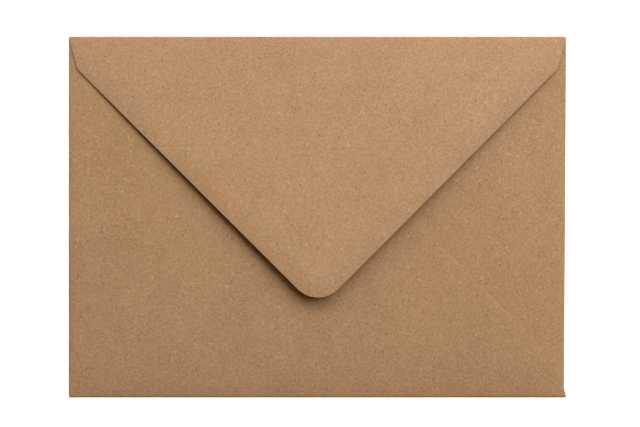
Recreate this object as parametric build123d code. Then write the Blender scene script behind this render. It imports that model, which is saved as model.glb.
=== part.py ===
from build123d import *

import math
import os

# A kraft greeting-card envelope, folded from one diamond-cut sheet of paper and lying flat, flap side up.
# Millimetres. +X runs along the long side, +Y towards the fold of the closing flap, and +Z is up. The origin
# is on the underside, at the middle of the outline. The back panel is at the bottom. The two side flaps fold
# in over it, the bottom flap folds up over them and is glued to them where they lap, and the closing flap
# folds down over all three. It isn't stuck, so it springs open a little.

# Overall sizes, over the outsides of the folds
WIDTH = 184.0
HEIGHT = 133.5
PAPER = 0.16  # the sheet's thickness
RIGHT_SKEW = 0.85  # how much further in the right fold is at its lower end than at its upper end

# How loosely the sheet is folded
POCKET_GAP = 0.8  # the empty pocket, between the back panel and the side flaps
MOUTH_GAP = 0.06  # between the side flaps and the closing flap, beside the closing flap's fold
FLAP_LIFT = 3.3  # degrees that the closing flap springs open

# The cut of the flaps
SHOULDER_DEPTH = 12.3  # from a flap's fold to its shoulders
SHOULDER_INSET = 3.1  # how much further in each shoulder is than the end of the fold
EDGE_ANGLE = 45.0  # between the fold and the edges past the shoulders, in degrees
SHOULDER_RADIUS = 1.5
CLOSING_SHOULDER_RADII = (2.0, 1.0)  # right and left: the right one is worn softer
TIP_RADIUS = 10.0
LONG_FOLD_INSET = 0.3  # from the sides to the ends of the top and bottom folds
SIDE_FOLD_INSET = 1.0  # from the top and bottom to the ends of the side folds

# The clear space inside each fold
side_space = POCKET_GAP
bottom_space = side_space + PAPER
closing_space = bottom_space + MOUTH_GAP

long_fold = WIDTH - 2 * LONG_FOLD_INSET
side_fold = HEIGHT - 2 * SIDE_FOLD_INSET
skew_angle = math.degrees(math.asin(RIGHT_SKEW / side_fold))


def outer_radius(space):
    """The radius of the outside of a fold that has this clear space inside it."""
    return space / 2 + PAPER


def leaf_outline(fold_length, start, shoulder_radii):
    """The cut of a flap from the end of its fold's curve, which is this far in from the fold's outside."""
    half = fold_length / 2
    shoulder_x = half - SHOULDER_INSET
    shoulder_y = SHOULDER_DEPTH - start
    tip_y = shoulder_y + shoulder_x * math.tan(math.radians(EDGE_ANGLE))
    sharp = Polyline(
        (-half, 0), (half, 0), (shoulder_x, shoulder_y), (0, tip_y), (-shoulder_x, shoulder_y), close=True
    )
    leaf = fillet(make_face(sharp).vertices().sort_by(Axis.Y)[-1], TIP_RADIUS)
    for side, radius in zip((-1, 1), shoulder_radii):
        shoulder = leaf.vertices().sort_by_distance((side * shoulder_x, shoulder_y))[0]
        leaf = fillet(shoulder, radius)
    return leaf


def folded_flap(fold_length, space, lift=0.0, shoulder_radii=(SHOULDER_RADIUS, SHOULDER_RADIUS)):
    """A flap with its fold: the fold's outside touches the XZ plane, and the flap lies over the +Y side."""
    outside = outer_radius(space)
    turn = lift - 180
    outer = CenterArc((outside, outside), outside, 270, turn)
    inner = CenterArc((outside, outside), space / 2, 270, turn)
    ends = [Line(outer @ 0, inner @ 0), Line(outer @ 1, inner @ 1)]
    curve = extrude(Plane.YZ * make_face([outer, inner, *ends]), fold_length / 2, both=True)
    edge = outer @ 1
    upward = math.radians(lift)
    leaf_plane = Plane((0, edge.X, edge.Y), x_dir=(1, 0, 0), z_dir=(0, -math.sin(upward), math.cos(upward)))
    leaf = extrude(leaf_plane * leaf_outline(fold_length, outside, shoulder_radii), -PAPER)
    return curve + leaf


# Each flap's place, with the fold along the envelope's edge and the flap reaching inwards
right_end = Pos(WIDTH / 2, HEIGHT / 2 - SIDE_FOLD_INSET) * Rot(0, 0, 90 - skew_angle)
places = {
    "bottom": Pos(0, -HEIGHT / 2),
    "right": right_end * Pos(-side_fold / 2, 0),
    "top": Pos(0, HEIGHT / 2) * Rot(0, 0, 180),
    "left": Pos(-WIDTH / 2, 0) * Rot(0, 0, 270),
}
lengths = {"bottom": long_fold, "right": side_fold, "top": long_fold, "left": side_fold}
spaces = {"bottom": bottom_space, "right": side_space, "top": closing_space, "left": side_space}

# The back panel runs from the start of each fold's curve to the next one's
corners = []
for name, place in places.items():
    for side in (-1, 1):
        corner = place * Pos(side * lengths[name] / 2, outer_radius(spaces[name]))
        corners.append(corner.position)
envelope = extrude(make_face(Polyline(*corners, close=True)), PAPER)

# The three flaps of the pocket, in the order that they are folded, then the closing flap
for name in ("left", "right", "bottom"):
    envelope += places[name] * folded_flap(lengths[name], spaces[name])
envelope += places["top"] * folded_flap(long_fold, closing_space, FLAP_LIFT, CLOSING_SHOULDER_RADII)

os.makedirs("parts", exist_ok=True)
export_step(envelope, "parts/envelope.step")
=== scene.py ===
import math

import bmesh
import bpy
import numpy as np
from bpy.props import FloatProperty, FloatVectorProperty, PointerProperty
from mathutils import Matrix, Vector


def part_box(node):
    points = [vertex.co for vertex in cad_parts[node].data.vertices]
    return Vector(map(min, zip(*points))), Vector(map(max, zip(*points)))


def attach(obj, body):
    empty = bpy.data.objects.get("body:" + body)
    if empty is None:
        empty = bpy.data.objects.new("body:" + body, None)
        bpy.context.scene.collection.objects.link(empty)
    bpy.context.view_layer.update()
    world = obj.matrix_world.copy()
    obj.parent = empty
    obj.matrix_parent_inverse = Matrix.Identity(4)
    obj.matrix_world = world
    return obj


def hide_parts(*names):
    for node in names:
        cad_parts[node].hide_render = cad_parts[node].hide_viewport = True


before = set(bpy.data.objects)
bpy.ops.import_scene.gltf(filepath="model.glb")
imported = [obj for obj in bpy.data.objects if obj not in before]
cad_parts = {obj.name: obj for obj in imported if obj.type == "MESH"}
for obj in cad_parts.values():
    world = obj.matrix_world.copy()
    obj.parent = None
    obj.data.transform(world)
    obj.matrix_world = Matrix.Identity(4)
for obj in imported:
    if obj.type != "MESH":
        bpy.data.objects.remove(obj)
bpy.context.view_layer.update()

bl_info = {
    "name": "Kraft Card Envelope",
    "version": (1, 0, 0),
    "blender": (4, 5, 0),
    "location": "3D View > Sidebar > Envelope",
    "description": "Cuts, folds and finishes a kraft card envelope, and sets its studio stage",
    "category": "Add Mesh",
}

MM = 0.001
LOW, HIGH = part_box("envelope")
FOLDED_WIDTH = HIGH.x - LOW.x
FOLDED_HEIGHT = HIGH.y - LOW.y
UP = Vector((0, 0, 1))
CUT_MAP = "Cut"  # the UV map that holds each point's place on the flat sheet
CUT_MAP_SPAN = 340 * MM  # the length of sheet that the map's 0 to 1 stands for
EDGE_LAYER = "cut_edge_distance"
# 1 on the closing flap, 0 on the pocket, whose colour carries painted shade
PAINTED_SHADE_MASK_LAYER = "unshaded_flap_mask"
FOLD_STEPS = 8  # creases round each fold, an even number so that the facet in the middle stands upright
TIP_STEPS = 20  # edges round a flap's tip
SHOULDER_STEPS = 4  # edges round a shoulder
MARGINS = (0.3 * MM, 0.7 * MM, 1.5 * MM, 2.5 * MM)  # between the lines along a flap's cut, outermost first
MARGIN_MERGE = 0.15 * MM  # points of those lines that come nearer than this are joined
SMOOTH_ANGLE = math.radians(40)  # edges sharper than this stay crisp
TINY = 0.002 * MM  # slack in a comparison of distances
NEAR = 0.01 * MM  # two points nearer than this are the same place

# Where the pocket's front and the closing flap rise, and how quickly
RIGHT_START = 30 * MM  # right of the middle, where the front begins to turn into its fuller right side
RIGHT_RUN = 45 * MM
CROWN_PLACE = 36 * MM  # from the bottom fold up to the crown
CROWN_CLIMB = 20 * MM  # how much further up the crown is on the right
CROWN_POWER = 2.2  # how squarely the crown falls off to the sides
CROWN_POWER_RIGHT = 3.8  # and how much more squarely on the right
HEM_END_REACH = 2.5 * MM  # over which the hem dies out at its two ends
HEM_LESS_RIGHT = 0.3  # the share of the hem that the fuller right side takes away
SEAM_START = 6 * MM  # from the bottom fold out to where the seams' press begins
SEAM_RUN = 22 * MM
SEAM_POWER = 1.5
CURL_SHARE = 0.6  # the most of the room under the flap that its curled edge may use up
RIDGE_PLACE = 32 * MM  # right of the middle
RIDGE_WIDTH = 20 * MM
RIDGE_RUN = 30 * MM  # from the closing fold down to the ridge's full height
SPRING_REACH = 4.5 * MM  # from the closing fold down to where its spring has mostly come
TWIST_START = 10 * MM  # right of the middle
TWIST_RUN = 45 * MM
TWIST_REACH = 12 * MM  # from the closing fold down to where the twist has mostly come

RAW_EDGE = 0.25 * MM  # over which the paler raw fibres along a cut fade out

TABLE_SIZE = 30.0
TABLE_DROP = 0.05 * MM  # keeps the table's face clear of the sheet's underside
TABLE_GLOW = 0.75  # lifts the white of the table top to the white of a lit backdrop


# ---------------------------------------------------------------- sizes, shape, colours


class SheetSizes(bpy.types.PropertyGroup):
    """The cut and the folds of the sheet."""

    paper: FloatProperty(
        name="Paper", description="Thickness of the sheet", default=0.16 * MM, unit="LENGTH"
    )
    pocket_gap: FloatProperty(
        name="Pocket gap", description="Empty space inside the side folds", default=0.8 * MM, unit="LENGTH"
    )
    lap_gap: FloatProperty(
        name="Lap gap", description="Between the bottom flap and the side flaps that it is glued to",
        default=0.1 * MM, unit="LENGTH"
    )
    mouth_gap: FloatProperty(
        name="Mouth gap", description="Between the side flaps and the closing flap at its fold",
        default=0.06 * MM, unit="LENGTH"
    )
    right_skew: FloatProperty(
        name="Right skew", description="How much further in the right fold is at its lower end",
        default=0.85 * MM, unit="LENGTH"
    )
    long_fold_inset: FloatProperty(
        name="Long fold inset", description="From the sides to the ends of the top and bottom folds",
        default=0.2 * MM, unit="LENGTH"
    )
    side_fold_inset: FloatProperty(
        name="Side fold inset", description="From the top and bottom to the ends of the side folds",
        default=0.75 * MM, unit="LENGTH"
    )
    shoulder_depth: FloatProperty(
        name="Shoulder depth", description="From a flap's fold to its shoulders",
        default=12.3 * MM, unit="LENGTH"
    )
    shoulder_inset: FloatProperty(
        name="Shoulder inset", description="How much further in each shoulder is than the fold's end",
        default=3.1 * MM, unit="LENGTH"
    )
    closing_insets: FloatVectorProperty(
        name="Closing insets", description="The same for the closing flap, right and left", size=2,
        default=(3.45 * MM, 3.25 * MM), unit="LENGTH"
    )
    crisp_shoulder: FloatProperty(
        name="Crisp shoulder", description="Radius of a shoulder as it was cut", default=1.0 * MM,
        unit="LENGTH"
    )
    worn_shoulder: FloatProperty(
        name="Worn shoulder", description="Radius of the closing flap's softened right shoulder",
        default=2.2 * MM, unit="LENGTH"
    )
    tip_radius: FloatProperty(
        name="Tip radius", description="Radius of the hidden flaps' tips", default=10 * MM, unit="LENGTH"
    )
    closing_tip: FloatProperty(
        name="Closing tip", description="Radius of the closing flap's tip", default=10.5 * MM,
        unit="LENGTH"
    )
    tip_shift: FloatProperty(
        name="Tip shift", description="How far right of the middle the closing flap's tip was cut",
        default=0.2 * MM, unit="LENGTH"
    )
    cell: FloatProperty(
        name="Cell", description="Spacing of the mesh over the sheet", default=2 * MM, unit="LENGTH"
    )


class SheetShape(bpy.types.PropertyGroup):
    """How the folded sheet springs and pillows."""

    flap_lift: FloatProperty(
        name="Flap lift", description="Angle that the closing flap springs open",
        default=math.radians(2.72), unit="ROTATION"
    )
    flap_spring: FloatProperty(
        name="Flap spring", description="How far the closing flap rises close behind its fold",
        default=0.22 * MM, unit="LENGTH"
    )
    flap_twist: FloatProperty(
        name="Flap twist", description="How much higher the closing flap's right side stands",
        default=0.6 * MM, unit="LENGTH"
    )
    crown: FloatProperty(
        name="Crown", description="How far the pocket's front bows up", default=0.45 * MM, unit="LENGTH"
    )
    right_crown: FloatProperty(
        name="Right crown", description="How far it bows up on its right side", default=1.4 * MM,
        unit="LENGTH"
    )
    hem: FloatProperty(
        name="Hem", description="How far the front rises close behind the bottom fold",
        default=0.72 * MM, unit="LENGTH"
    )
    hem_reach: FloatProperty(
        name="Hem reach", description="Distance over which that rise eases off",
        default=4.5 * MM, unit="LENGTH"
    )
    seam_press: FloatProperty(
        name="Seam press", description="How far the bottom flap's glued edges are pressed down",
        default=0.075 * MM, unit="LENGTH"
    )
    seam_reach: FloatProperty(
        name="Seam reach", description="How far in from those edges the press reaches",
        default=1.3 * MM, unit="LENGTH"
    )
    margin_curl: FloatProperty(
        name="Margin curl", description="How far the closing flap's cut edges curl down",
        default=0.5 * MM, unit="LENGTH"
    )
    margin_reach: FloatProperty(
        name="Margin reach", description="How far in from its edges that curl begins",
        default=7 * MM, unit="LENGTH"
    )
    ridge: FloatProperty(
        name="Ridge", description="Height of the soft ridge down the closing flap's right side",
        default=0.45 * MM, unit="LENGTH"
    )


class KraftColours(bpy.types.PropertyGroup):
    """Colours of the uncoated brown paper; the pocket's colour is the paper darkened as painted shade."""

    body: FloatVectorProperty(
        name="Body", description="The paper's middle tone", default=(0.427, 0.2445, 0.123), subtype="COLOR"
    )
    # The pocket's colour is the flap's paper made deeper and warmer as painted shade, for the dimmer light
    # that the pocket gets beside the flap.
    pocket: FloatVectorProperty(
        name="Pocket", description="The middle tone of the pocket, which is a little deeper than the flap",
        default=(0.4, 0.222, 0.1005), subtype="COLOR"
    )
    fleck: FloatVectorProperty(
        name="Fleck", description="Specks of bark", default=(0.16, 0.08, 0.035), subtype="COLOR"
    )
    fibre: FloatVectorProperty(
        name="Fibre", description="Pale fibres", default=(0.66, 0.46, 0.29), subtype="COLOR"
    )
    edge: FloatVectorProperty(
        name="Cut edge", description="Fibres along the cut", default=(0.58, 0.38, 0.23), subtype="COLOR"
    )


class StageSettings(bpy.types.PropertyGroup):
    """The studio floor, light and camera."""

    light_azimuth: FloatProperty(
        name="Light azimuth", description="Direction of the soft light, from +X towards +Y",
        default=math.radians(45), unit="ROTATION"
    )
    light_elevation: FloatProperty(
        name="Light elevation", description="Height of the soft light above the table",
        default=math.radians(45), unit="ROTATION"
    )
    light_distance: FloatProperty(
        name="Light distance", description="From the envelope to the soft light", default=1.1,
        unit="LENGTH"
    )
    light_size: FloatProperty(
        name="Light size", description="Side of the square soft light", default=1.05, unit="LENGTH"
    )
    light_power: FloatProperty(name="Light power", description="In watts", default=13.3, unit="POWER")
    wall_azimuth: FloatProperty(
        name="Wall azimuth", description="Direction of the light that a pale wall gives back",
        default=math.radians(97), unit="ROTATION"
    )
    wall_elevation: FloatProperty(
        name="Wall elevation", description="Height of that light above the table",
        default=math.radians(22), unit="ROTATION"
    )
    wall_power: FloatProperty(name="Wall power", description="In watts", default=11.8, unit="POWER")
    fill: FloatProperty(name="Fill", description="Strength of the room's own light", default=0.17)
    fill_colour: FloatVectorProperty(
        name="Fill colour", description="Warm tint of the room's own light", default=(1, 0.68, 0.3),
        subtype="COLOR"
    )
    lens: FloatProperty(name="Lens", description="Focal length", default=100, unit="CAMERA")
    view_width: FloatProperty(
        name="View width", description="Width of the table that the camera sees",
        default=236.5 * MM, unit="LENGTH"
    )
    aim: FloatVectorProperty(
        name="Aim", description="The point below the camera", default=(0.92 * MM, 1.22 * MM, 1.0 * MM),
        unit="LENGTH"
    )


class EnvelopeSettings(bpy.types.PropertyGroup):
    """Everything about the envelope that can be changed."""

    sizes: PointerProperty(type=SheetSizes)
    shape: PointerProperty(type=SheetShape)
    colours: PointerProperty(type=KraftColours)
    stage: PointerProperty(type=StageSettings)


# ---------------------------------------------------------------- the folds


class Fold:
    """One fold, as creases that are evenly spaced on the flat sheet.

    middle is the point of the finished outline at the fold's middle, and outward points away from the
    envelope there. space is the clear space that the finished fold keeps inside it. Distances on the flat
    sheet run outward from the finished outline.
    """

    def __init__(self, sizes, middle, outward, length, space, turn=math.pi):
        self.middle = Vector(middle)
        self.outward = Vector(outward).normalized()
        self.along = UP.cross(self.outward)
        self.half = length / 2
        self.radius = (space + sizes.paper) / 2  # to the middle of the paper
        self.step_angle = turn / FOLD_STEPS  # that the sheet turns at each crease
        self.step = 2 * self.radius * math.tan(self.step_angle / 2)  # from crease to crease
        self.first = self.radius + sizes.paper / 2 - self.step / 2  # the first crease is this far inside
        self.leaf = (FOLD_STEPS - 1) * self.step - self.first  # and the last is this far outside

    def place(self, outward, along=0.0):
        """The point of the flat sheet this far outward from the finished outline and along the fold."""
        return self.middle + outward * self.outward + along * self.along

    def measure(self, points):
        """How far outward, and how far along, each of these points of the flat sheet is."""
        offset = points[:, :2] - np.array(self.middle.xy)
        return offset @ np.array(self.outward.xy), offset @ np.array(self.along.xy)


def make_folds(sizes, shape):
    """The four folds, in the order that they are folded."""
    half_width, half_height = FOLDED_WIDTH / 2, FOLDED_HEIGHT / 2
    side_length = FOLDED_HEIGHT - 2 * sizes.side_fold_inset
    long_length = FOLDED_WIDTH - 2 * sizes.long_fold_inset
    skew = math.asin(sizes.right_skew / side_length)
    side_space = sizes.pocket_gap
    bottom_space = side_space + sizes.paper + sizes.lap_gap
    closing_space = side_space + sizes.paper + sizes.mouth_gap
    right_out = Vector((math.cos(skew), -math.sin(skew), 0))
    right_end = Vector((half_width, half_height - sizes.side_fold_inset, 0))
    right_middle = right_end - side_length / 2 * UP.cross(right_out)
    return {
        "left": Fold(sizes, (-half_width, 0, 0), (-1, 0, 0), side_length, side_space),
        "right": Fold(sizes, right_middle, right_out, side_length, side_space),
        "bottom": Fold(sizes, (0, -half_height, 0), (0, -1, 0), long_length, bottom_space),
        "closing": Fold(
            sizes, (0, half_height, 0), (0, 1, 0), long_length, closing_space, math.pi - shape.flap_lift
        ),
    }


# ---------------------------------------------------------------- modelling by hand


def edit(piece):
    """Opens a piece for editing, with nothing else selected."""
    bpy.ops.object.select_all(action="DESELECT")
    bpy.context.view_layer.objects.active = piece
    piece.select_set(True)
    bpy.ops.object.mode_set(mode="EDIT")
    bpy.context.tool_settings.mesh_select_mode = (True, False, False)


def pick(piece, wanted):
    """Selects, while editing, the vertices that wanted(vertex) is true of, and what lies between them."""
    mesh = bmesh.from_edit_mesh(piece.data)
    for vertex in mesh.verts:
        vertex.select = bool(wanted(vertex))
    mesh.select_mode = {"VERT"}
    mesh.select_flush_mode()
    bmesh.update_edit_mesh(piece.data)


def pick_near(piece, *places):
    """Selects the vertices that are at these places."""
    pick(piece, lambda vertex: any((vertex.co - place).length < NEAR for place in places))


def grow_edge(offset):
    """Extrudes the selected edge by this much."""
    bpy.ops.mesh.extrude_edges_move(TRANSFORM_OT_translate={"value": offset})


def start_panel(sizes, folds):
    """The back panel, flat, as far as the first crease of each fold."""
    level = sizes.paper / 2 * UP
    bottom, closing = folds["bottom"], folds["closing"]
    upper, lower = closing.place(-closing.first).y, bottom.place(-bottom.first).y
    bpy.ops.mesh.primitive_plane_add(size=1, location=level + (upper + lower) / 2 * Vector((0, 1, 0)))
    panel = bpy.context.object
    panel.name = "kraft_sheet"
    bpy.ops.transform.resize(value=(2 * closing.half, upper - lower, 1))
    bpy.ops.object.transform_apply()
    edit(panel)
    for end in (-1, 1):
        bpy.ops.mesh.select_all(action="SELECT")
        height = end * folds["left"].half
        bpy.ops.mesh.bisect(plane_co=(0, height, 0), plane_no=(0, 1, 0))
        for side, name in ((-1, "left"), (1, "right")):
            fold = folds[name]
            wanted = fold.place(-fold.first, side * end * fold.half) + level
            corner = Vector((side * closing.half, height, level.z))
            pick_near(panel, corner)
            bpy.ops.transform.translate(value=wanted - corner)
    bpy.ops.object.mode_set(mode="OBJECT")
    return panel


def add_flap(sheet, sizes, fold, insets, shoulder_radii, tip_radius, tip_shift=0.0):
    """Extrudes a flap, flat, from the panel's edge, and rounds its shoulders and its tip.

    insets and shoulder_radii are those of its two shoulders. Its long edges lie at 45 degrees, because it
    reaches as far past its shoulders as they are from its middle.
    """
    level = sizes.paper / 2 * UP
    pick_near(sheet, *(fold.place(-fold.first, end * fold.half) + level for end in (-1, 1)))
    for _ in range(FOLD_STEPS - 1):
        grow_edge(fold.step * fold.outward)
    shoulder_at = fold.leaf + sizes.shoulder_depth - fold.first
    reach = fold.half - sum(insets) / 2
    shoulders = [
        fold.place(shoulder_at, end * (fold.half - inset)) + level for end, inset in zip((-1, 1), insets)
    ]
    tip = fold.place(shoulder_at + reach, -tip_shift) + level
    grow_edge((shoulder_at - fold.leaf) * fold.outward)
    for end, shoulder in zip((-1, 1), shoulders):
        corner = fold.place(shoulder_at, end * fold.half) + level
        pick_near(sheet, corner)
        bpy.ops.transform.translate(value=shoulder - corner)
    pick_near(sheet, *shoulders)
    grow_edge(reach * fold.outward)
    bpy.ops.mesh.merge(type="CENTER")
    merged = (shoulders[0] + shoulders[1]) / 2 + reach * fold.outward
    bpy.ops.transform.translate(value=tip - merged)
    pick_near(sheet, *shoulders)
    bpy.ops.mesh.dissolve_edges(use_verts=False)
    pick_near(sheet, tip)
    bpy.ops.mesh.bevel(offset=tip_radius, segments=TIP_STEPS, affect="VERTICES")
    for shoulder, inset, radius in zip(shoulders, insets, shoulder_radii):
        bend = math.atan2(sizes.shoulder_depth - fold.first, inset) - math.radians(45)
        cut_back = radius * math.tan(bend / 2)
        pick_near(sheet, shoulder)
        bpy.ops.mesh.bevel(offset=cut_back, segments=SHOULDER_STEPS, affect="VERTICES")


def add_margins(sheet, fold):
    """Adds lines that follow a flap's cut, for its curl, its pressed seams and its raw edge."""
    middle, out = fold.middle, fold.outward
    pick(sheet, lambda vertex: (vertex.co - middle).dot(out) > fold.leaf - TINY)
    for width in MARGINS:
        bpy.ops.mesh.inset(thickness=width, use_boundary=True, use_even_offset=True)
        bpy.ops.mesh.remove_doubles(threshold=MARGIN_MERGE)


def lay_grid(sheet, cell, folds):
    """Cuts the flat sheet into square cells, with no cut along the narrow strips of the folds.

    strips are those of the folds that lie across this axis, each with a little room on both sides.
    """
    for axis in (0, 1):
        normal = [0, 0, 0]
        normal[axis] = 1
        places = [vertex.co[axis] for vertex in bmesh.from_edit_mesh(sheet.data).verts]
        strips = [
            (abs(fold.middle[axis]) - 2.5 * fold.first, abs(fold.middle[axis]) + fold.leaf + fold.first)
            for fold in folds.values()
            if abs(fold.outward[axis]) > 0.5
        ]
        first, last = math.ceil(min(places) / cell), math.floor(max(places) / cell)
        for number in range(first, last + 1):
            place = number * cell
            if not any(start < abs(place) < end for start, end in strips):
                bpy.ops.mesh.select_all(action="SELECT")
                bpy.ops.mesh.bisect(plane_co=[place * n for n in normal], plane_no=normal)


def fold_flap(sheet, sizes, fold, outward, along):
    """Folds a flap up and over, from its outermost crease inwards, one facet's turn at a time."""
    cursor = bpy.context.scene.cursor
    cursor.matrix = Matrix((UP, fold.outward, fold.along)).transposed().to_4x4()
    for number in reversed(range(FOLD_STEPS)):
        crease = number * fold.step - fold.first
        moving = (outward > crease + TINY) & (abs(along) < fold.half + TINY)
        pick(sheet, lambda vertex: moving[vertex.index])
        bpy.ops.transform.rotate(
            value=fold.step_angle,
            orient_axis="Z",
            orient_type="CURSOR",
            center_override=fold.place(crease) + sizes.paper / 2 * UP,
        )
    cursor.matrix = Matrix.Identity(4)


# ---------------------------------------------------------------- the sheet's spring


def points_of(piece):
    """A piece's vertices as an array, one row each."""
    points = np.empty(3 * len(piece.data.vertices))
    piece.data.vertices.foreach_get("co", points)
    return points.reshape(-1, 3)


def smooth(x):
    """0 below 0, 1 above 1, and an even S between."""
    x = np.clip(x, 0, 1)
    return x * x * (3 - 2 * x)


def cut_edge_distance(sheet):
    """How far each vertex of the flat sheet is from the nearest cut edge."""
    points = points_of(sheet)[:, :2]
    edge_number = {key: number for number, key in enumerate(sheet.data.edge_keys)}
    faces_beside = np.zeros(len(edge_number), int)
    for face in sheet.data.polygons:
        for key in face.edge_keys:
            faces_beside[edge_number[key]] += 1
    cut_edges = np.array([edge.vertices[:] for edge in sheet.data.edges])[faces_beside == 1]
    nearest = np.full(len(points), np.inf)
    for start, end in points[cut_edges]:
        run = end - start
        share = np.clip((points - start) @ run / (run @ run), 0, 1)
        nearest = np.minimum(nearest, np.linalg.norm(points - start - share[:, None] * run, axis=1))
    return nearest


def front_rise(shape, x, y):
    """How far the pocket's front bows up at each place, over the flat stack of its layers."""
    half_width, half_height = FOLDED_WIDTH / 2, FOLDED_HEIGHT / 2
    from_bottom = y + half_height
    from_side = half_width - abs(x)
    rightward = smooth((x - RIGHT_START) / RIGHT_RUN)
    crown_at = CROWN_PLACE + CROWN_CLIMB * rightward
    below = 1 - np.clip(1 - from_bottom / crown_at, 0, None) ** 2
    above = smooth((2 * half_height - from_bottom) / (2 * half_height - crown_at))
    across = 1 - (abs(x) / half_width) ** (CROWN_POWER + CROWN_POWER_RIGHT * rightward)
    crown = shape.crown + (shape.right_crown - shape.crown) * rightward
    hem = 1 - np.exp(-from_bottom / shape.hem_reach)
    hem_ends = 1 - np.exp(-np.clip(from_side, 0, None) / HEM_END_REACH)
    rise = crown * across * below + shape.hem * (1 - HEM_LESS_RIGHT * rightward) * hem * hem_ends
    return rise * above


def flap_rise(shape, x, y, edge_distance, depth):
    """How far the closing flap stands above a flat one: it lies over the pillow, and its edges curl down."""
    over_pocket = front_rise(shape, x, y)
    curl = np.clip(1 - edge_distance / shape.margin_reach, 0, 1) ** 2
    clearance = depth * math.tan(shape.flap_lift)
    drop = np.minimum(shape.margin_curl, CURL_SHARE * clearance) * curl
    ridge = shape.ridge * np.exp(-(((x - RIDGE_PLACE) / RIDGE_WIDTH) ** 2)) * smooth(depth / RIDGE_RUN)
    spring = shape.flap_spring * (1 - np.exp(-depth / SPRING_REACH))
    rightward = smooth((x - TWIST_START) / TWIST_RUN)
    twist = shape.flap_twist * rightward * (1 - np.exp(-depth / TWIST_REACH))
    return over_pocket + spring + twist + ridge - drop


def spring_open(sheet, sizes, shape, folds, flat, edge_distance):
    """Bows the pocket's front and the closing flap of the folded sheet, and leaves its back flat."""
    points = points_of(sheet)
    x, y, z = points.T
    level = sizes.paper / 2
    rise = np.zeros(len(points))
    for name, fold in folds.items():
        outward, along = fold.measure(flat)
        flap = (outward > -fold.first + TINY) & (abs(along) < fold.half + TINY)
        turned = smooth((z - level) / (2 * fold.radius))
        if name == "closing":
            depth = np.clip(outward - fold.leaf, 0, None)
            rise = np.where(flap, turned * flap_rise(shape, x, y, edge_distance, depth), rise)
        elif name == "bottom":
            pressed = np.clip(1 - edge_distance / shape.seam_reach, 0, 1) ** SEAM_POWER
            press = shape.seam_press * pressed * smooth((outward - SEAM_START) / SEAM_RUN)
            rise = np.where(flap, turned * (front_rise(shape, x, y) - press), rise)
        else:
            rise = np.where(flap, turned * front_rise(shape, x, y), rise)
    points[:, 2] += rise
    sheet.data.vertices.foreach_set("co", points.ravel())
    sheet.data.update()


def keep_flat_places(sheet, flat, edge_distance, tone):
    """Keeps each point's place on the flat sheet, its distance from the cut, and whether it is on the
    closing flap, which is left out of the pocket's painted shade.
    """
    mesh = sheet.data
    layer = mesh.uv_layers.new(name=CUT_MAP)
    corners = np.empty(len(mesh.loops), int)
    mesh.loops.foreach_get("vertex_index", corners)
    layer.uv.foreach_set("vector", (flat[corners, :2] / CUT_MAP_SPAN + 0.5).ravel())
    for name, values in ((EDGE_LAYER, edge_distance), (PAINTED_SHADE_MASK_LAYER, tone)):
        attribute = mesh.attributes.new(name, "FLOAT", "POINT")
        attribute.data.foreach_set("value", values)


def build_sheet(sizes, shape):
    """Cuts the blank, folds it and gives it its thickness. Returns the sheet and what it was cut to."""
    folds = make_folds(sizes, shape)
    cell = sizes.cell
    even, crisp = 2 * [sizes.shoulder_inset], 2 * [sizes.crisp_shoulder]
    worn = (sizes.worn_shoulder, sizes.crisp_shoulder)
    sheet = start_panel(sizes, folds)
    edit(sheet)
    for name, fold in folds.items():
        if name == "closing":
            add_flap(sheet, sizes, fold, sizes.closing_insets, worn, sizes.closing_tip, sizes.tip_shift)
        else:
            add_flap(sheet, sizes, fold, even, crisp, sizes.tip_radius)
    for fold in folds.values():
        add_margins(sheet, fold)
    lay_grid(sheet, cell, folds)
    bpy.ops.object.mode_set(mode="OBJECT")

    flat = points_of(sheet)
    span = flat.max(axis=0) - flat.min(axis=0)
    area = sum(face.area for face in sheet.data.polygons)
    cut = {"flat": (float(span[0]), float(span[1])), "area": area}
    edge_distance = cut_edge_distance(sheet)
    # 1 on the closing flap and 0 elsewhere; where it is 0 the finish paints the pocket's shade into its
    # colour.
    past_closing_fold, _ = folds["closing"].measure(flat)
    tone = (past_closing_fold > folds["closing"].leaf - TINY).astype(float)
    keep_flat_places(sheet, flat, edge_distance, tone)

    edit(sheet)
    for fold in folds.values():
        fold_flap(sheet, sizes, fold, *fold.measure(flat))
    bpy.ops.object.mode_set(mode="OBJECT")
    spring_open(sheet, sizes, shape, folds, flat, edge_distance)

    edit(sheet)
    bpy.ops.mesh.select_all(action="SELECT")
    bpy.ops.mesh.flip_normals()
    bpy.ops.object.mode_set(mode="OBJECT")
    wall = sheet.modifiers.new("Paper", "SOLIDIFY")
    wall.thickness = sizes.paper
    wall.offset = 0
    wall.use_even_offset = True
    wall.use_quality_normals = True
    bpy.ops.object.modifier_apply(modifier=wall.name)
    bpy.ops.object.shade_smooth_by_angle(angle=SMOOTH_ANGLE)
    return sheet, cut


# ---------------------------------------------------------------- the paper's finish


class Value:
    """A socket of a finish. Sums and products of it add Math nodes."""

    def __init__(self, finish, socket):
        self.finish = finish
        self.socket = socket

    def maths(self, operation, *others):
        """What a Math node makes of this value and the others."""
        return self.finish.add("ShaderNodeMath", {"operation": operation}, [self, *others])

    def __add__(self, other):
        return self.maths("ADD", other)

    __radd__ = __add__

    def __sub__(self, other):
        return self.maths("SUBTRACT", other)

    def __rsub__(self, other):
        return self.finish.add("ShaderNodeMath", {"operation": "SUBTRACT"}, [other, self])

    def __mul__(self, other):
        return self.maths("MULTIPLY", other)

    __rmul__ = __mul__

    def clamped(self):
        """This value, kept between 0 and 1."""
        return self.finish.add("ShaderNodeClamp", {}, [self, 0.0, 1.0])


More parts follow.
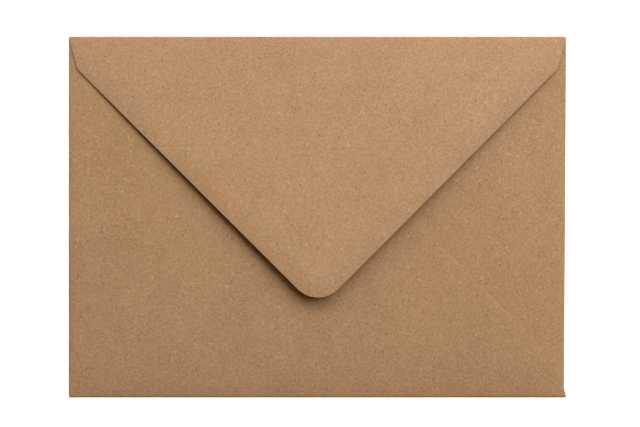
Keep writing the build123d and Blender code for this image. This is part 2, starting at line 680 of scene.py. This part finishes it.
class Finish:
    """A material's nodes."""

    def __init__(self, name):
        self.material = bpy.data.materials.new(name)
        self.material.use_nodes = True
        self.nodes = self.material.node_tree.nodes
        self.links = self.material.node_tree.links
        self.nodes.clear()

    def add(self, kind, settings, sockets, out=0):
        """A node: its settings first, then its sockets, by name or number. Returns one of its outputs."""
        node = self.nodes.new(kind)
        for name, setting in settings.items():
            setattr(node, name, setting)
        named = sockets.items() if isinstance(sockets, dict) else enumerate(sockets)
        for name, value in named:
            if isinstance(value, Value):
                self.links.new(value.socket, node.inputs[name])
            else:
                node.inputs[name].default_value = value
        return Value(self, node.outputs[out]) if node.outputs else None

    def mix(self, share, first, second):
        """One colour turning into another. Sockets 6 and 7 and output 2 are the node's colours."""
        sockets = {"Factor": share, 6: first, 7: second}
        return self.add("ShaderNodeMix", {"data_type": "RGBA"}, sockets, out=2)

    def scaled(self, vector, scale):
        """A vector made longer or shorter."""
        return self.add("ShaderNodeVectorMath", {"operation": "SCALE"}, {0: vector, "Scale": scale})

    def noise(self, place, per_metre, detail=2.0, roughness=0.5):
        """Soft random patches from 0 to 1, this many of them to the metre."""
        sockets = {"Vector": place, "Scale": per_metre, "Detail": detail, "Roughness": roughness}
        return self.add("ShaderNodeTexNoise", {"noise_dimensions": "2D"}, sockets)

    def moved(self, place, shift=(0, 0, 0), turn=0.0, scale=(1, 1, 1)):
        """A place shifted, turned and scaled."""
        sockets = {"Vector": place, "Location": shift, "Rotation": (0, 0, turn), "Scale": scale}
        return self.add("ShaderNodeMapping", {"vector_type": "POINT"}, sockets)

    def coat(self, sockets):
        """The shader that the material ends in."""
        shader = self.add("ShaderNodeBsdfPrincipled", {}, sockets)
        self.add("ShaderNodeOutputMaterial", {}, {"Surface": shader})

    def grain(self, place, turn, stretch, per_metre):
        """Fine grain that is drawn out along one direction."""
        drawn = self.moved(self.moved(place, turn=turn), scale=(1, stretch, 1))
        return self.noise(drawn, per_metre, 3, 0.65)

    def specks(self, place, shift, turn, size, share):
        """Specks of this size that lie one way, in this share of the places: 1 in them and 0 outside."""
        radius, crispness = 0.3, 8.0
        cells = self.moved(self.moved(place, shift, turn), scale=(1 / size[0], 1 / size[1], 1))
        settings = {"voronoi_dimensions": "2D", "feature": "F1"}
        sockets = {"Vector": cells, "Scale": 1.0}
        distance = self.add("ShaderNodeTexVoronoi", settings, sockets, out="Distance")
        colour = self.add("ShaderNodeTexVoronoi", settings, sockets, out="Color")
        chosen = self.add("ShaderNodeSeparateColor", {}, [colour]).maths("GREATER_THAN", 1 - share)
        return ((radius - distance) * crispness).clamped() * chosen


def kraft_finish(colours):
    """Uncoated brown kraft: cloudy, mottled, with fine fibres, bark specks and pale fibres, and painted
    shade that makes the pocket deeper than the flap.
    """
    finish = Finish("kraft_paper")
    place = finish.scaled(finish.add("ShaderNodeUVMap", {"uv_map": CUT_MAP}, {}), CUT_MAP_SPAN)
    sockets = {"Vector": place, "Scale": 500.0}
    wander = finish.add("ShaderNodeTexNoise", {"noise_dimensions": "2D"}, sockets, out="Color")
    wander = finish.scaled(wander, 0.6 * MM)
    curved = finish.add("ShaderNodeVectorMath", {"operation": "ADD"}, [place, wander])

    clouds = finish.noise(place, per_metre=60, detail=3)
    patches = finish.noise(place, per_metre=240)
    mottle = finish.noise(curved, per_metre=800, detail=3, roughness=0.6)
    grain = finish.grain(curved, turn=0.5, stretch=1.8, per_metre=1300)
    cross_grain = finish.grain(curved, turn=2.1, stretch=1.8, per_metre=1300)
    tone = (clouds - 0.5) * 0.45 + (patches - 0.5) * 0.5 + (mottle - 0.5) * 1.65
    tone = tone + (grain - 0.5) * 2.25 + (cross_grain - 0.5) * 2.25

    # Painted shade: the pocket takes the deeper pocket colour, and the closing flap keeps the paper's own
    # colour.
    flap = finish.add("ShaderNodeAttribute", {"attribute_name": PAINTED_SHADE_MASK_LAYER}, {}, out="Fac")
    body = finish.mix(flap, (*colours.pocket, 1), (*colours.body, 1))
    dark = finish.mix(0.5, (*colours.fleck, 1), body)
    light = finish.mix(0.35, body, (*colours.fibre, 1))
    colour = finish.mix((tone * 0.5 + 0.5).clamped(), dark, light)

    flecks = finish.specks(curved, (0.013, 0.004, 0), turn=0.4, size=(1.3 * MM, 0.9 * MM), share=0.01)
    slivers = finish.specks(curved, (0.021, 0.009, 0), turn=2.2, size=(2.6 * MM, 0.75 * MM), share=0.011)
    bark = flecks.maths("MAXIMUM", slivers)
    colour = finish.mix(bark * 0.62, colour, (*colours.fleck, 1))
    fibres = finish.specks(curved, (0.002, 0.017, 0), turn=1.1, size=(3.5 * MM, 0.8 * MM), share=0.014)
    hairs = finish.specks(curved, (0.031, 0.012, 0), turn=2.7, size=(3.5 * MM, 0.8 * MM), share=0.014)
    pale = fibres.maths("MAXIMUM", hairs)
    colour = finish.mix(pale * 0.4, colour, (*colours.fibre, 1))

    edge_distance = finish.add("ShaderNodeAttribute", {"attribute_name": EDGE_LAYER}, {}, out="Fac")
    raw_edge = (1 - edge_distance * (1 / RAW_EDGE)).clamped()
    colour = finish.mix(raw_edge * 0.3, colour, (*colours.edge, 1))

    height = grain + cross_grain + mottle * 0.8 - flecks * 0.3
    bump = finish.add("ShaderNodeBump", {}, {"Strength": 0.35, "Distance": 0.03 * MM, "Height": height})
    roughness = 0.86 + (mottle - 0.5) * 0.1
    finish.coat({"Base Color": colour, "Roughness": roughness, "Specular IOR Level": 0.3, "Normal": bump})
    return finish.material


# ---------------------------------------------------------------- the stage


def table_finish():
    """A matt white table top, with the faint unevenness of a painted board."""
    finish = Finish("white_table")
    where = finish.add("ShaderNodeTexCoord", {}, {}, out="Object")
    patches = finish.noise(where, per_metre=6)
    colour = finish.mix(patches, (0.93, 0.93, 0.93, 1), (0.96, 0.96, 0.96, 1))
    matt = {"Base Color": colour, "Roughness": 0.9, "Specular IOR Level": 0.2}
    finish.coat({**matt, "Emission Color": (1, 1, 1, 1), "Emission Strength": TABLE_GLOW})
    return finish.material


class ENVELOPE_OT_fold_sheet(bpy.types.Operator):
    """Cut the kraft sheet, fold it into the envelope and finish it"""

    bl_idname = "envelope.fold_sheet"
    bl_label = "Fold Sheet"

    def execute(self, context):
        settings = context.scene.card_envelope
        sheet, cut = build_sheet(settings.sizes, settings.shape)
        sheet.data.materials.append(kraft_finish(settings.colours))
        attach(sheet, "root")
        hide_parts("envelope")
        return {"FINISHED"}


class ENVELOPE_OT_set_stage(bpy.types.Operator):
    """Set the white table, the soft light and the camera"""

    bl_idname = "envelope.set_stage"
    bl_label = "Set Stage"

    def add_light(self, stage, name, azimuth, elevation, power):
        """A square soft light that faces the envelope from this direction."""
        across = math.cos(elevation)
        towards = Vector((across * math.cos(azimuth), across * math.sin(azimuth), math.sin(elevation)))
        bpy.ops.object.light_add(type="AREA", location=stage.light_distance * towards)
        light = bpy.context.object
        light.name = name
        light.rotation_euler = towards.to_track_quat("Z", "Y").to_euler()
        light.data.size = stage.light_size
        light.data.energy = power

    def execute(self, context):
        stage = context.scene.card_envelope.stage
        bpy.ops.object.select_all(action="DESELECT")
        bpy.ops.mesh.primitive_plane_add(size=TABLE_SIZE, location=(0, 0, -TABLE_DROP))
        table = context.object
        table.name = "table"
        table.data.materials.append(table_finish())

        self.add_light(stage, "soft_light", stage.light_azimuth, stage.light_elevation, stage.light_power)
        self.add_light(stage, "wall_light", stage.wall_azimuth, stage.wall_elevation, stage.wall_power)

        world = bpy.data.worlds.new("room")
        world.use_nodes = True
        world.node_tree.nodes["Background"].inputs["Color"].default_value = (*stage.fill_colour, 1)
        world.node_tree.nodes["Background"].inputs["Strength"].default_value = stage.fill
        context.scene.world = world

        aim = Vector(stage.aim)
        data = bpy.data.cameras.new("camera")
        data.lens = stage.lens
        data.clip_start = 0.01
        camera = bpy.data.objects.new("camera", data)
        context.collection.objects.link(camera)
        camera.location = aim + stage.view_width * stage.lens / data.sensor_width * UP
        context.scene.camera = camera
        context.scene.view_settings.view_transform = "Standard"
        return {"FINISHED"}


class ENVELOPE_PT_panel(bpy.types.Panel):
    """Lists the envelope's steps and sizes"""

    bl_label = "Envelope"
    bl_idname = "ENVELOPE_PT_panel"
    bl_space_type = "VIEW_3D"
    bl_region_type = "UI"
    bl_category = "Envelope"

    def draw(self, context):
        for operator in (ENVELOPE_OT_fold_sheet, ENVELOPE_OT_set_stage):
            self.layout.operator(operator.bl_idname)
        settings = context.scene.card_envelope
        for group in (settings.sizes, settings.shape, settings.colours, settings.stage):
            column = self.layout.column()
            for name in group.__annotations__:
                column.prop(group, name)


CLASSES = (
    SheetSizes,
    SheetShape,
    KraftColours,
    StageSettings,
    EnvelopeSettings,
    ENVELOPE_OT_fold_sheet,
    ENVELOPE_OT_set_stage,
    ENVELOPE_PT_panel,
)


def register():
    """Registers the settings, the steps and the panel."""
    for kind in CLASSES:
        bpy.utils.register_class(kind)
    bpy.types.Scene.card_envelope = PointerProperty(type=EnvelopeSettings)


def unregister():
    """Takes them all away again."""
    del bpy.types.Scene.card_envelope
    for kind in reversed(CLASSES):
        bpy.utils.unregister_class(kind)


def main():
    """Makes the envelope and its stage."""
    register()
    bpy.ops.envelope.fold_sheet()
    bpy.ops.envelope.set_stage()


if __name__ == "__main__":
    main()
